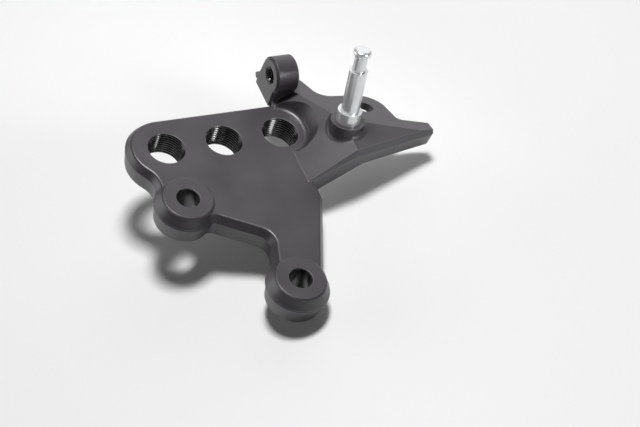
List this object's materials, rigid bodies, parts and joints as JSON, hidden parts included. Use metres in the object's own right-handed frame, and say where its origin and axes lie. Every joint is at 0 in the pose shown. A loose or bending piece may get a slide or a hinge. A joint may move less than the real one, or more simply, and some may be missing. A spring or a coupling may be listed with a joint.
{
  "type": "footrest bracket",
  "caption": "Forged motorcycle footrest bracket: a drafted plate with frame bolt bosses, a row of threaded footrest holes, a raised arm with a lug, and a pressed-in spring post.",
  "frame": {"origin": "on the axis of the upper frame bolt, at the underside of its boss", "axes": "+Z along both frame bolts, out of the faced top of the plate; +X along the row of footrest holes towards the arm's tip; +Y towards the lug"},
  "size_m": [0.1526, 0.142, 0.0729],
  "materials": {
    "coated_forging": "black satin coating over a forged surface",
    "plated_steel": "bright zinc plate, turned"
  },
  "bodies": {
    "root": {"bracket_body": "coated_forging", "spring_post": "plated_steel"}
  },
  "joints": []
}
